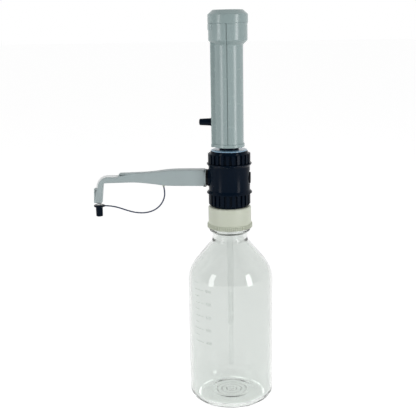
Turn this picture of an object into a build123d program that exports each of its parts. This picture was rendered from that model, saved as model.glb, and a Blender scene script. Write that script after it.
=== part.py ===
from build123d import *

import os
from math import cos, pi, radians, sin, sqrt, tan

os.makedirs("parts", exist_ok=True)

# The dispenser stands on its bottle, with the origin at the centre of the bottle's base.
# The arm points along -X, the front seam of the sleeve faces -Y, and +Z is up.
# All sizes are in millimetres and all angles in degrees.

# Gaps between pieces
flat_gap = 0.3
seat_gap = 0.1
turn_gap = 0.3
running_gap = 0.07
push_gap = 0.05

# How far a cutting shape runs past the face it opens
cut_past = 1.0

# Reagent bottle
bottle_radius = 50.5
bottle_height = 225.0
glass_wall = 2.5
heel_round = 10.0
foot_width = 16.0
punt_slope_width = 10.5
punt_depth = 3.0
punt_ring_count = 3
punt_ring_height = 0.8
punt_pip_radius = 1.8
floor_thickness = 3.6
neck_length = 9.05
shoulder_slope = 50.0
shoulder_round = 38.5
neck_radius = 20.75
neck_round = 8.0
neck_bore_radius = 16.0
bead_radius = 24.3
bead_height = 5.6
bead_taper = 2.6
bead_below_lip = 12.6
thread_root_radius = 21.8

# Screw adapter between bottle and block
gasket_thickness = 1.3
gasket_radius = 21.5
adapter_radius = 25.2
adapter_thread_gap = 1.4
adapter_skirt_gap = 0.3
adapter_deck = 3.0
adapter_body_height = 12.0
adapter_bore_radius = 12.0
adapter_well_radius = 16.0
adapter_edge_round = 2.0
grip_band_radius = 26.65
grip_band_height = 5.6
grip_rib_count = 72
grip_rib_share = 0.5
grip_rib_depth = 1.1
grip_band_chamfer = 0.8
spigot_radius = 20.3
spigot_height = 8.2

# Union nut that clamps the block's foot to the adapter
union_crest_radius = 24.5
union_rib_depth = 1.8
union_web = 3.0
union_chamfer_width = 2.8
union_chamfer_height = 3.0
nut_rib_count = 24
nut_rib_share = 0.52

# Valve block
foot_seal_thickness = 1.0
foot_seal_width = 5.0
foot_radius = 20.0
foot_thickness = 3.0
foot_neck_radius = 16.0
block_radius = 24.25
block_height = 35.3
lower_flange_radius = 26.6
upper_flange_radius = 26.2
flange_edge = 1.0
flange_flare = 3.6
top_spigot_radius = 20.0
top_spigot_height = 9.7
arm_axis_height = 17.6
boss_radius = 10.6
boss_reach = 24.4
cross_bore_radius = 6.0

# Side plug, on the side away from the arm
plug_head_radius = 6.8
plug_head_thickness = 1.6
plug_stem_radius = 4.9
plug_stem_length = 11.0
plug_boss_radius = 7.6
plug_seat_reach = 23.4
plug_seal_thickness = 0.8
plug_seal_radius = 6.2

# Suction valve, under the barrel
valve_insert_radius = 7.0
valve_nose_radius = 5.5
valve_nose_length = 11.9
valve_barb_length = 10.0
valve_barb_lip = 0.25
valve_inlet_radius = 2.2
valve_chamber_radius = 4.3
valve_chamber_floor = 8.6
valve_body_height = 14.1
suction_ball_radius = 3.9
suction_ball_travel = 1.5
cage_height = 6.2
cage_web = 1.6
cage_hole_radius = 1.0
cage_hole_reach = 2.6
cage_hole_count = 4
main_channel_radius = 3.0

# Discharge valve, at the root of the arm
outlet_valve_inner = 9.0
outlet_valve_outer = 23.0
outlet_chamber_reach = 16.0
outlet_chamber_radius = 2.3
outlet_ball_radius = 2.0
outlet_ball_travel = 1.2
outlet_channel_radius = 1.2
outlet_seat_drop = 1.3

# Suction tube
suction_outer_radius = 4.0
suction_bore_radius = 3.0
suction_outer_length = 145.5
suction_inner_bore = 2.1
suction_overlap = 40.0
suction_tip_height = 34.7
suction_tip_slant = 30.0

# Measuring barrel and piston
full_volume_ml = 20.0
barrel_bore_radius = 9.0
barrel_wall = 1.2
barrel_seal_thickness = 1.2
socket_depth = 16.5
collar_wall = 1.1
collar_flange_radius = 15.5
collar_flange_thickness = 2.5
collar_rise = 11.0
guide_collar_radius = 14.6
guide_collar_height = 8.0
piston_height = 14.0
piston_groove_height = 3.0
piston_groove_depth = 1.2
piston_groove_start = 4.5
rod_radius = 4.0
rod_stud_radius = 3.0
rod_stud_length = 8.5
rod_flange_radius = 7.0
rod_flange_thickness = 3.0

# Barrel nut
barrel_nut_crest_radius = 24.7
barrel_nut_root_radius = 22.6
barrel_nut_disc_radius = 21.4
barrel_nut_web = 2.9
barrel_nut_rib_height = 10.9
barrel_nut_edge_round = 1.2
nut_ring_thickness = 0.8
nut_ring_inset = 0.5

# Lifting sleeve
sleeve_rise = 3.7
foot_ring_height = 3.6
foot_ring_radius = 18.2
foot_ring_bore = 12.0
foot_ring_lip_height = 5.0
foot_ring_lip_wall = 1.8
foot_ring_rail_reach = 20.2
sleeve_radius = 17.1
sleeve_wall = 2.2
sleeve_over_barrel = 9.2
rail_reach = 19.8
rail_half_width = 7.5
rail_face = 2.4
rail_round = 1.4
head_radius = 22.2
head_height = 18.6
head_cone_height = 5.0
head_wall = 2.2
head_floor = 2.4
head_round = 1.5
head_ledge_radius = 17.5
head_ledge_height = 6.0
head_pad_radius = 22.9
head_pad_height = 7.0
head_pad_half_width = 15.0
seam_width = 0.8
seam_depth = 1.2
cap_radius = 22.8
cap_height = 14.9
cap_chamfer_width = 5.6
cap_chamfer_height = 5.1
cap_wall = 2.4
cap_joint = 0.5
carrier_thickness = 4.0
rod_nut_height = 6.0
rod_end_showing = 1.0
rod_nut_radius = 8.0

# Volume stop and its knob
knob_height = 28.4
stop_lug_drop = 4.0
stop_lug_height = 5.5
stop_plate_rise = 6.0
stop_plate_thickness = 1.9
stop_half_width = 4.7
stop_lug_reach = 11.9
stud_radius = 1.5
slot_half_width = 1.9
slot_over_travel = 2.0
washer_radius = 4.9
washer_thickness = 0.9
washer_gap = 0.2
knob_root_radius = 4.35
knob_tip_radius = 3.75
knob_length = 13.2
knob_tip_round = 1.6

# Arm and discharge tube
socket_ring_radius = 9.8
socket_ring_width = 2.6
socket_stub_length = 1.2
arm_collar_radius = 10.2
arm_collar_width = 2.0
arm_key_length = 6.0
arm_wall = 2.0
arm_joint_gap = 0.25
tube_radius = 2.3
tube_bore_radius = 1.0
tube_reach = 157.1
tube_bend_radius = 13.0
tube_cover_rise = 0.2
tube_groove_gap = 0.3
nozzle_radius = 3.1
nozzle_stem_radius = 2.8
nozzle_tip_radius = 2.7
nozzle_tip_drop = 43.5
nozzle_top_drop = 25.7
latch_length = 3.6
latch_width = 5.0
latch_drop = 1.7

# Arm outline, as shares of the tube's reach and heights above or below the tube
arm_root_top = 9.7
arm_root_bottom = 9.1
arm_shoulder_share = 0.436
arm_shoulder_top = 9.5
arm_waist_share = 0.602
arm_waist_top = 6.3
arm_belly_share = 0.481
arm_rise_run = 15.0
arm_rise_bottom = 7.4
arm_under_share = 0.71
arm_under_bottom = 5.6

# Outer end of the arm, as insets and outsets from the tube's drop
arm_step_inset = 26.5
arm_step_top = 4.8
arm_step_run = 1.8
arm_step_wall = 4.6
arm_elbow_inset = 6.5
arm_elbow_bottom = 7.1
arm_tip_inset = 3.9
arm_tip_outset = 5.5
arm_tip_drop = 31.2
arm_drop_outset = 4.7
arm_drop_shoulder = 0.4

# Rounding and width of the arm
arm_corner_round = 0.8
arm_elbow_round = 2.4
long_round_share = 0.4
arm_root_half_width = 7.8
arm_waist_half_width = 5.0
arm_tip_half_width = 4.2
arm_edge_round = 1.4

# Cap on the nozzle and its tether
cap_flange_radius = 6.2
cap_flange_thickness = 2.2
cap_body_radius = 4.2
cap_body_tip_radius = 4.05
cap_body_length = 11.6
nozzle_cap_gap = 2.7
nozzle_cap_floor = 2.0
cap_tab_half_width = 1.6
cap_tab_reach = 6.9
cap_bore_gap = 0.2
cap_body_round = 0.8
tether_diameter = 1.7
cord_bend_share = 0.45
peg_radius = 1.5
peg_length = 5.4
peg_share = 0.497
peg_showing = 1.85

# The tether leaves the cap level and ends at the peg.
# Each corner of its route is a share of the way in from cap to peg, and a drop below the tube.
tether_start_drop = arm_tip_drop + nozzle_cap_gap + cap_flange_thickness / 2
tether_route = [
    (0.0, tether_start_drop),
    (0.089, tether_start_drop),
    (0.226, 36.9),
    (0.364, 40.3),
    (0.514, 43.2),
    (0.679, 43.6),
    (0.83, 40.4),
    (0.947, 33.6),
    (1.01, 24.4),
    (1.015, 17.2),
    (1.0, arm_root_bottom + peg_showing),
]

# Heights that follow from the sizes above
bead_top_z = bottle_height - bead_below_lip
bead_bottom_z = bead_top_z - bead_height
adapter_bottom_z = bead_top_z + adapter_skirt_gap
gasket_bottom_z = bottle_height + seat_gap
gasket_top_z = gasket_bottom_z + gasket_thickness
adapter_deck_z = gasket_top_z + seat_gap
adapter_shoulder_z = adapter_deck_z + adapter_body_height
spigot_top_z = adapter_shoulder_z + spigot_height
union_bottom_z = adapter_shoulder_z + flat_gap
foot_seal_z = spigot_top_z + flat_gap - seat_gap
foot_z = foot_seal_z + foot_seal_thickness
foot_top_z = foot_z + foot_thickness
union_web_z = foot_top_z + flat_gap
union_top_z = union_web_z + union_web
block_bottom_z = union_top_z + flat_gap
block_top_z = block_bottom_z + block_height
arm_z = block_bottom_z + arm_axis_height
top_spigot_z = block_top_z + top_spigot_height
socket_floor_z = top_spigot_z - socket_depth
barrel_bottom_z = socket_floor_z + barrel_seal_thickness
collar_top_z = top_spigot_z + collar_flange_thickness
barrel_nut_bottom_z = block_top_z + flat_gap
barrel_nut_web_z = collar_top_z + flat_gap
barrel_nut_top_z = barrel_nut_web_z + barrel_nut_web
sleeve_bottom_z = barrel_nut_top_z + sleeve_rise
shell_bottom_z = sleeve_bottom_z + foot_ring_height
knob_z = sleeve_bottom_z + knob_height
stop_lug_top_z = knob_z - stop_lug_drop
stroke = full_volume_ml * 1000 / (pi * barrel_bore_radius**2)
guide_collar_z = stop_lug_top_z + stroke + flat_gap
barrel_top_z = guide_collar_z + guide_collar_height
head_bottom_z = barrel_top_z + sleeve_over_barrel
head_ledge_z = head_bottom_z + head_floor + head_ledge_height
carrier_top_z = head_ledge_z + carrier_thickness
head_top_z = head_bottom_z + head_height
cap_bottom_z = head_top_z + push_gap
cap_top_z = cap_bottom_z + cap_height
arm_tip_z = arm_z - arm_tip_drop
nozzle_tip_z = arm_z - nozzle_tip_drop
nozzle_top_z = arm_z - nozzle_top_drop
suction_seat_z = foot_z + valve_chamber_floor

# Radii that follow from the sizes above
barrel_radius = barrel_bore_radius + barrel_wall
collar_radius = barrel_radius + push_gap + collar_wall
sleeve_bore_radius = sleeve_radius - sleeve_wall
head_bore_radius = head_radius - head_wall
valve_barb_radius = suction_bore_radius - push_gap

# Places along the arm and round the knob that follow from the sizes above
socket_outer_x = -boss_reach - socket_ring_width
collar_outer_x = socket_outer_x - arm_collar_width
arm_root_x = collar_outer_x - arm_joint_gap
arm_shoulder_x = -arm_shoulder_share * tube_reach
arm_waist_x = -arm_waist_share * tube_reach
arm_belly_x = -arm_belly_share * tube_reach
arm_rise_x = arm_belly_x - arm_rise_run
arm_under_x = -arm_under_share * tube_reach
arm_end_x = -tube_reach - arm_tip_outset
peg_x = -peg_share * tube_reach
cavity_end_x = -tube_reach + arm_step_inset + arm_step_wall
knob_root_x = -rail_reach - washer_gap - washer_thickness - seat_gap


def share_round(before, corner, after, share):
    """Radius of the arc that takes that share of the shorter of the two runs at a corner."""
    run_in = corner - before
    run_out = after - corner
    half_turn = radians(run_in.get_angle(run_out)) / 2
    return share * min(run_in.length, run_out.length) / tan(half_turn)


def corner_round(outline, index):
    """Rounding of a corner: none, a radius, or "long" for an arc as long as its runs allow."""
    corner = outline[index]
    rounding = corner[2] if len(corner) > 2 else 0
    if rounding != "long":
        return rounding
    neighbours = outline[index - 1], corner, outline[index + 1]
    return share_round(*[Vector(*spot[:2]) for spot in neighbours], long_round_share)


def rounded_line(corners, rounds):
    """Closed line through the corners, with a tangent arc at each corner that has a radius."""
    count = len(corners)
    stretches = []
    for index, (corner, radius) in enumerate(zip(corners, rounds)):
        back = (corners[index - 1] - corner).normalized()
        ahead = (corners[(index + 1) % count] - corner).normalized()
        half_turn = radians(180 - back.get_angle(ahead)) / 2
        start = corner + back * radius * tan(half_turn)
        end = corner + ahead * radius * tan(half_turn)
        if radius > 0:
            middle = corner + (back + ahead).normalized() * radius * (1 / cos(half_turn) - 1)
            stretches.append((start, end, ThreePointArc(start, middle, end)))
        else:
            stretches.append((start, end, None))
    edges = []
    for index, (start, end, arc) in enumerate(stretches):
        edges.append(Line(stretches[index - 1][1], start))
        if arc:
            edges.append(arc)
    return edges


def outline_face(outline, upright=True):
    """Face from (x, z) or (x, z, rounding) corners in the XZ plane, or in the XY plane."""
    corners = [Vector(spot[0], 0, spot[1]) if upright else Vector(*spot[:2]) for spot in outline]
    rounds = [corner_round(outline, index) for index in range(len(outline))]
    return make_face(rounded_line(corners, rounds))


def turned(outline):
    """Solid turned about the Z axis from its half outline."""
    return revolve(outline_face(outline), Axis.Z)


def ring(inner, outer, low, high):
    """Plain ring about the Z axis."""
    return turned([(inner, low), (outer, low), (outer, high), (inner, high)])


def post(radius, low, high, x=0.0):
    """Upright cylinder."""
    return Pos(x, 0, low) * Cylinder(radius, high - low, align=(Align.CENTER, Align.CENTER, Align.MIN))


def bar(radius, start_x, end_x, z):
    """Cylinder that lies along the X axis."""
    middle = (start_x + end_x) / 2
    return Pos(middle, 0, z) * Rot(0, 90, 0) * Cylinder(radius, abs(end_x - start_x))


def block_between(x_low, x_high, half_width, z_low, z_high):
    """Box that is centred on the XZ plane."""
    size = (x_high - x_low, 2 * half_width, z_high - z_low)
    centre = ((x_low + x_high) / 2, 0, (z_low + z_high) / 2)
    return Pos(*centre) * Box(*size)


def ribbed_post(root_radius, crest_radius, low, high, count, rib_share):
    """Post with upright grip ribs, one of them on the X axis."""
    pitch = 2 * pi * crest_radius / count
    depth = crest_radius - root_radius
    rib = Rectangle(2 * depth, pitch * rib_share)
    section = Circle(root_radius) + PolarLocations(root_radius, count) * rib
    return Pos(0, 0, low) * extrude(section, amount=high - low)


def punt_rings(punt_radius):
    """Moulded rings and pip in the middle of the bottle's hollow foot."""
    low = punt_depth - punt_ring_height
    corners = [(0, low), (punt_pip_radius, low), (punt_pip_radius + punt_ring_height, punt_depth)]
    pitch = punt_radius / (punt_ring_count + 1)
    for step in range(1, punt_ring_count + 1):
        centre = pitch * step
        corners += [
            (centre - punt_ring_height, punt_depth),
            (centre, low, punt_ring_height / 2),
            (centre + punt_ring_height, punt_depth),
        ]
    return corners


def make_reagent_bottle():
    slope = tan(radians(shoulder_slope))
    half_turn = radians(90 - shoulder_slope) / 2
    neck_z = bead_bottom_z - neck_length
    corner_z = neck_z - (bottle_radius - neck_radius) * slope
    inner_radius = bottle_radius - glass_wall
    inner_corner_z = corner_z - glass_wall * tan(half_turn)
    inner_neck_z = inner_corner_z + (inner_radius - neck_bore_radius) * slope
    punt_edge = bottle_radius - foot_width
    punt_radius = punt_edge - punt_slope_width
    outline = [
        *punt_rings(punt_radius),
        (punt_radius, punt_depth, heel_round),
        (punt_edge, 0, heel_round),
        (bottle_radius, 0, heel_round),
        (bottle_radius, corner_z, shoulder_round),
        (neck_radius, neck_z, neck_round),
        (neck_radius, bead_bottom_z),
        (bead_radius, bead_bottom_z + bead_taper, glass_wall / 2),
        (bead_radius, bead_top_z, glass_wall / 2),
        (thread_root_radius, bead_top_z),
        (thread_root_radius, bottle_height, glass_wall / 2),
        (neck_bore_radius, bottle_height, glass_wall / 2),
        (neck_bore_radius, inner_neck_z, neck_round),
        (inner_radius, inner_corner_z, shoulder_round - glass_wall),
        (inner_radius, floor_thickness, heel_round - glass_wall),
        (punt_edge, floor_thickness, heel_round),
        (punt_radius, floor_thickness + punt_depth, heel_round),
        (0, floor_thickness + punt_depth),
    ]
    return turned(outline)


def make_adapter_gasket():
    return ring(neck_bore_radius, gasket_radius, gasket_bottom_z, gasket_top_z)


def make_thread_adapter():
    bore = thread_root_radius + adapter_thread_gap
    body = turned([
        (bore, adapter_bottom_z),
        (adapter_radius, adapter_bottom_z),
        (adapter_radius, adapter_shoulder_z, adapter_edge_round),
        (spigot_radius, adapter_shoulder_z),
        (spigot_radius, spigot_top_z),
        (adapter_well_radius, spigot_top_z),
        (adapter_well_radius, adapter_deck_z + adapter_deck),
        (adapter_bore_radius, adapter_deck_z + adapter_deck),
        (adapter_bore_radius, adapter_deck_z),
        (bore, adapter_deck_z),
    ])
    band_low = adapter_bottom_z
    band_high = band_low + grip_band_height
    band_root = grip_band_radius - grip_rib_depth
    band_edge = grip_band_radius - grip_band_chamfer
    past_band = grip_band_radius + cut_past
    band = ribbed_post(band_root, grip_band_radius, band_low, band_high, grip_rib_count, grip_rib_share)
    band &= turned([
        (bore, band_low),
        (band_edge, band_low),
        (past_band, band_low + grip_band_chamfer + cut_past),
        (past_band, band_high - grip_band_chamfer - cut_past),
        (band_edge, band_high),
        (bore, band_high),
    ])
    return body + band


def make_union_nut():
    root = union_crest_radius - union_rib_depth
    waist = union_crest_radius - union_chamfer_width
    past_crest = union_crest_radius + union_rib_depth
    past_rise = union_chamfer_height * (past_crest - waist) / union_chamfer_width
    bore = spigot_radius + turn_gap
    nut = ribbed_post(
        root, union_crest_radius, union_bottom_z, union_top_z, nut_rib_count, nut_rib_share)
    nut &= turned([
        (0, union_bottom_z),
        (waist, union_bottom_z),
        (past_crest, union_bottom_z + past_rise),
        (past_crest, union_top_z),
        (0, union_top_z),
    ])
    nut -= post(bore, union_bottom_z, union_web_z)
    nut -= post(foot_neck_radius + turn_gap, union_web_z, union_top_z)
    return nut


def make_block_seal():
    return ring(foot_radius - foot_seal_width, foot_radius - seat_gap, foot_seal_z, foot_z)


def make_block_housing():
    body = turned([
        (0, foot_z),
        (foot_radius, foot_z),
        (foot_radius, foot_top_z),
        (foot_neck_radius, foot_top_z),
        (foot_neck_radius, block_bottom_z),
        (lower_flange_radius, block_bottom_z, flange_edge / 3),
        (lower_flange_radius, block_bottom_z + flange_edge),
        (block_radius, block_bottom_z + flange_flare, flange_flare / 2),
        (block_radius, block_top_z - flange_flare, flange_flare / 2),
        (upper_flange_radius, block_top_z - flange_edge),
        (upper_flange_radius, block_top_z, flange_edge / 3),
        (top_spigot_radius, block_top_z),
        (top_spigot_radius, top_spigot_z),
        (0, top_spigot_z),
    ])
    body += bar(boss_radius, -boss_reach, 0, arm_z)
    body += bar(plug_boss_radius, 0, plug_seat_reach, arm_z)
    body -= bar(plug_boss_radius + plug_head_thickness, plug_seat_reach, block_radius + cut_past, arm_z)
    body -= bar(cross_bore_radius, -boss_reach, -outlet_valve_inner, arm_z)
    body -= bar(plug_stem_radius + push_gap, plug_seat_reach - plug_stem_length, plug_seat_reach, arm_z)
    body -= bar(plug_seal_radius + push_gap, plug_seat_reach - plug_seal_thickness, plug_seat_reach, arm_z)
    body -= post(collar_radius + push_gap, socket_floor_z, top_spigot_z)
    cage_top_z = foot_z + valve_body_height + cage_height
    body -= post(valve_insert_radius, foot_z, cage_top_z)
    body -= post(main_channel_radius, cage_top_z, socket_floor_z)
    seat_z = arm_z - outlet_seat_drop
    inlet_z = seat_z - outlet_channel_radius
    body -= bar(outlet_channel_radius, -outlet_valve_inner, 0, inlet_z)
    return body


def make_side_plug():
    seat_x = plug_seat_reach
    plug = bar(plug_head_radius, seat_x, seat_x + plug_head_thickness, arm_z)
    plug = chamfer(plug.edges().group_by(Axis.X)[-1], plug_head_thickness / 3)
    stem_start = seat_x - plug_stem_length + flat_gap
    return plug + bar(plug_stem_radius, stem_start, seat_x, arm_z)


def make_side_plug_seal():
    seat_x = plug_seat_reach
    seal = bar(plug_seal_radius, seat_x - plug_seal_thickness, seat_x, arm_z)
    return seal - bar(plug_stem_radius, seat_x - plug_seal_thickness, seat_x, arm_z)


def make_suction_valve_body():
    nose_z = foot_z - valve_nose_length
    barb_z = nose_z - valve_barb_length
    body_top_z = foot_z + valve_body_height
    return turned([
        (valve_inlet_radius, barb_z),
        (valve_barb_radius - valve_barb_lip, barb_z),
        (valve_barb_radius, barb_z + valve_barb_lip),
        (valve_barb_radius, nose_z),
        (valve_nose_radius, nose_z),
        (valve_nose_radius, foot_z - flat_gap),
        (valve_insert_radius, foot_z),
        (valve_insert_radius, body_top_z),
        (valve_chamber_radius, body_top_z),
        (valve_chamber_radius, suction_seat_z),
        (valve_inlet_radius, suction_seat_z),
    ])


def make_suction_ball():
    lift = sqrt(suction_ball_radius**2 - valve_inlet_radius**2)
    return Pos(0, 0, suction_seat_z + lift + push_gap) * Sphere(suction_ball_radius)


def make_suction_valve_cage():
    low = foot_z + valve_body_height
    high = low + cage_height
    cage = post(valve_insert_radius, low, high)
    cage -= post(valve_chamber_radius, low, high - cage_web)
    hole = post(cage_hole_radius, high - cage_web, high, x=cage_hole_reach)
    for turn in range(cage_hole_count):
        cage -= Rot(0, 0, 360 * turn / cage_hole_count) * hole
    return cage


def make_discharge_valve_body():
    seat_z = arm_z - outlet_seat_drop
    ball_z = seat_z + sqrt(outlet_ball_radius**2 - outlet_channel_radius**2) + push_gap
    chamber_top = ball_z + outlet_ball_radius + outlet_ball_travel + flat_gap
    chamber_x = -outlet_chamber_reach
    body = bar(cross_bore_radius - push_gap, -outlet_valve_outer, -outlet_valve_inner, arm_z)
    body -= post(outlet_chamber_radius, seat_z, chamber_top, x=chamber_x)
    body -= post(outlet_channel_radius, seat_z - 2 * outlet_channel_radius, seat_z, x=chamber_x)
    body -= bar(outlet_channel_radius, chamber_x, -outlet_valve_inner, seat_z - outlet_channel_radius)
    body -= bar(outlet_channel_radius, -outlet_valve_outer, chamber_x, arm_z)
    return body


def make_discharge_ball():
    seat_z = arm_z - outlet_seat_drop
    lift = sqrt(outlet_ball_radius**2 - outlet_channel_radius**2) + push_gap
    return Pos(-outlet_chamber_reach, 0, seat_z + lift) * Sphere(outlet_ball_radius)


def make_suction_tube_outer():
    top_z = foot_z - valve_nose_length
    return ring(suction_bore_radius, suction_outer_radius, top_z - suction_outer_length, top_z)


def make_suction_tube_inner():
    outer = suction_bore_radius - running_gap
    high = foot_z - valve_nose_length - suction_outer_length + suction_overlap
    tube = ring(suction_inner_bore, outer, suction_tip_height, high)
    slant = radians(suction_tip_slant)
    cut_z = suction_tip_height + outer * tan(slant)
    tip_plane = Plane(origin=(0, 0, cut_z), z_dir=(sin(slant), 0, cos(slant)))
    return split(tube, bisect_by=tip_plane, keep=Keep.TOP)


def make_barrel_seal():
    inner = barrel_bore_radius - 2 * barrel_wall
    return ring(inner, barrel_radius, socket_floor_z, barrel_bottom_z)


def make_glass_barrel():
    edge = barrel_wall / 4
    return turned([
        (barrel_bore_radius, barrel_bottom_z),
        (barrel_radius, barrel_bottom_z),
        (barrel_radius, barrel_top_z, edge),
        (barrel_bore_radius, barrel_top_z, edge),
    ])


def make_barrel_collar():
    inner = barrel_radius + push_gap
    low = barrel_bottom_z + flat_gap
    high = collar_top_z + collar_rise
    return turned([
        (inner, low),
        (collar_radius, low),
        (collar_radius, top_spigot_z),
        (collar_flange_radius, top_spigot_z),
        (collar_flange_radius, collar_top_z),
        (collar_radius, collar_top_z),
        (collar_radius, high, collar_wall / 3),
        (inner, high),
    ])


def make_guide_collar():
    return turned([
        (barrel_radius, guide_collar_z),
        (guide_collar_radius, guide_collar_z),
        (guide_collar_radius, barrel_top_z, barrel_wall),
        (barrel_radius, barrel_top_z),
    ])


def make_barrel_nut():
    low = barrel_nut_bottom_z
    high = barrel_nut_top_z - nut_ring_thickness
    rib_top = low + barrel_nut_rib_height
    nut = ribbed_post(
        barrel_nut_root_radius, barrel_nut_crest_radius, low, rib_top, nut_rib_count, nut_rib_share)
    nut += turned([
        (0, rib_top),
        (barrel_nut_root_radius, rib_top),
        (barrel_nut_disc_radius, high, barrel_nut_edge_round),
        (0, high),
    ])
    nut -= post(top_spigot_radius + turn_gap, low, barrel_nut_web_z)
    nut -= post(collar_radius + turn_gap, barrel_nut_web_z, high)
    return nut


def make_barrel_nut_ring():
    """Pale ring that lies on the barrel nut."""
    low = barrel_nut_top_z - nut_ring_thickness
    outer = barrel_nut_disc_radius - nut_ring_inset
    return turned([
        (collar_radius + turn_gap, low),
        (outer, low),
        (outer, barrel_nut_top_z, nut_ring_thickness / 2),
        (collar_radius + turn_gap, barrel_nut_top_z),
    ])


def rail_section(round_radius, reach, half_width, corner):
    """Round tube section with a flat rail on its -X side."""
    rail = Pos(-reach / 2, 0) * Rectangle(reach, 2 * half_width)
    corners = rail.vertices().group_by(Axis.X)[0]
    return Circle(round_radius) + fillet(corners, corner)


def make_sleeve_foot_ring():
    section = rail_section(foot_ring_radius, foot_ring_rail_reach, rail_half_width, rail_round)
    foot = Pos(0, 0, sleeve_bottom_z) * extrude(section, amount=foot_ring_height)
    lip_radius = sleeve_bore_radius - push_gap
    lip_bore = lip_radius - foot_ring_lip_wall
    foot += ring(lip_bore, lip_radius, shell_bottom_z, shell_bottom_z + foot_ring_lip_height)
    return foot - post(foot_ring_bore, sleeve_bottom_z, shell_bottom_z)


def sleeve_outline(inset):
    """Half outline of the round part of the sleeve, or of its core at that inset."""
    return [
        (0, shell_bottom_z),
        (sleeve_radius - inset, shell_bottom_z),
        (sleeve_radius - inset, head_bottom_z - head_cone_height, head_round),
        (head_radius - inset, head_bottom_z, head_round),
        (head_radius - inset, head_top_z),
        (0, head_top_z),
    ]


def make_sleeve():
    """Both shells of the sleeve in one, before they are parted at the seam."""
    section = rail_section(sleeve_radius, rail_reach, rail_half_width, rail_round)
    body = Pos(0, 0, shell_bottom_z) * extrude(section, amount=head_bottom_z - shell_bottom_z)
    body += turned(sleeve_outline(0))
    pad = ring(sleeve_radius, head_pad_radius, head_top_z - head_pad_height, head_top_z)
    pad_side = -sleeve_radius / 2
    body += pad & block_between(-head_pad_radius, pad_side, head_pad_half_width, head_bottom_z, head_top_z)
    body -= post(sleeve_bore_radius, shell_bottom_z, head_bottom_z + head_floor)
    body -= post(head_ledge_radius, head_bottom_z + head_floor, head_ledge_z)
    body -= post(head_bore_radius, head_ledge_z, head_top_z)
    groove_x = -rail_reach + rail_face
    plate_top = knob_z + stop_plate_rise + stroke + slot_over_travel
    plate_low = stop_lug_top_z - stop_lug_height - 2 * slot_over_travel
    groove_half = stop_half_width + flat_gap
    body -= block_between(groove_x, -stop_lug_reach, groove_half, plate_low, plate_top)
    slot_low = knob_z - slot_over_travel - slot_half_width
    slot_high = knob_z + stroke + slot_half_width
    body -= block_between(
        -rail_reach - cut_past, groove_x + cut_past, slot_half_width, slot_low, slot_high)
    seam = block_between(-seam_width / 2, seam_width / 2, head_radius + cut_past, shell_bottom_z, head_top_z)
    return body - (seam - turned(sleeve_outline(seam_depth)))


def make_rod_carrier():
    return ring(rod_radius + push_gap, head_bore_radius - seat_gap, head_ledge_z, carrier_top_z)


def make_piston_rod():
    shoulder_z = barrel_bottom_z + flat_gap + piston_height
    high = carrier_top_z + rod_nut_height + rod_end_showing
    return turned([
        (0, shoulder_z - rod_stud_length),
        (rod_stud_radius, shoulder_z - rod_stud_length),
        (rod_stud_radius, shoulder_z),
        (rod_radius, shoulder_z),
        (rod_radius, head_ledge_z - rod_flange_thickness),
        (rod_flange_radius, head_ledge_z - rod_flange_thickness),
        (rod_flange_radius, head_ledge_z),
        (rod_radius, head_ledge_z),
        (rod_radius, high),
        (0, high),
    ])


def make_rod_nut():
    hexagon = RegularPolygon(rod_nut_radius, 6)
    nut = Pos(0, 0, carrier_top_z) * extrude(hexagon, amount=rod_nut_height)
    return nut - post(rod_radius, carrier_top_z, carrier_top_z + rod_nut_height)


def make_piston_head():
    low = barrel_bottom_z + flat_gap
    high = low + piston_height
    outer = barrel_bore_radius - running_gap
    groove_low = low + piston_groove_start
    groove_high = groove_low + piston_groove_height
    groove_radius = outer - piston_groove_depth
    return turned([
        (0, low),
        (outer, low),
        (outer, groove_low),
        (groove_radius, groove_low),
        (groove_radius, groove_high),
        (outer, groove_high),
        (outer, high),
        (rod_stud_radius, high),
        (rod_stud_radius, high - rod_stud_length),
        (0, high - rod_stud_length),
    ])


def make_piston_seal():
    groove_low = barrel_bottom_z + flat_gap + piston_groove_start
    outer = barrel_bore_radius - running_gap
    inner = outer - piston_groove_depth
    return ring(inner, outer + push_gap, groove_low, groove_low + piston_groove_height)


def make_top_cap():
    low = cap_bottom_z
    skirt_outer = head_bore_radius - seat_gap
    skirt_low = carrier_top_z + push_gap
    cap_bore = skirt_outer - cap_wall
    return turned([
        (cap_bore, skirt_low),
        (skirt_outer, skirt_low),
        (skirt_outer, low),
        (cap_radius - cap_joint, low),
        (cap_radius, low + cap_joint),
        (cap_radius, cap_top_z - cap_chamfer_height, cap_wall / 2),
        (cap_radius - cap_chamfer_width, cap_top_z, cap_wall / 2),
        (0, cap_top_z),
        (0, cap_top_z - cap_wall),
        (cap_radius - cap_chamfer_width - cap_wall, cap_top_z - cap_wall),
        (cap_bore, cap_top_z - cap_wall - cap_chamfer_height),
    ])


def make_stop_shoe():
    plate_outer = -rail_reach + rail_face + flat_gap
    plate_inner = plate_outer + stop_plate_thickness
    lug_low = stop_lug_top_z - stop_lug_height
    shoe = block_between(plate_outer, plate_inner, stop_half_width, lug_low, knob_z + stop_plate_rise)
    shoe += block_between(plate_outer, -stop_lug_reach, stop_half_width, lug_low, stop_lug_top_z)
    return shoe - bar(stud_radius + push_gap, plate_outer - cut_past, plate_inner + cut_past, knob_z)


def make_stop_washer():
    inner_x = -rail_reach - washer_gap
    washer = bar(washer_radius, inner_x - washer_thickness, inner_x, knob_z)
    return washer - bar(stud_radius + push_gap, inner_x - washer_thickness, inner_x, knob_z)


def make_clamp_knob():
    outline = [
        (0, 0),
        (knob_root_radius, 0),
        (knob_tip_radius, knob_length, knob_tip_round),
        (0, knob_length),
    ]
    knob = turned(outline) - post(stud_radius, 0, knob_length / 2)
    return Pos(knob_root_x, 0, knob_z) * Rot(0, -90, 0) * knob


def make_knob_stud():
    inner_x = -rail_reach + rail_face + flat_gap + stop_plate_thickness - seat_gap
    return bar(stud_radius, knob_root_x - knob_length / 2, inner_x, knob_z)


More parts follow.
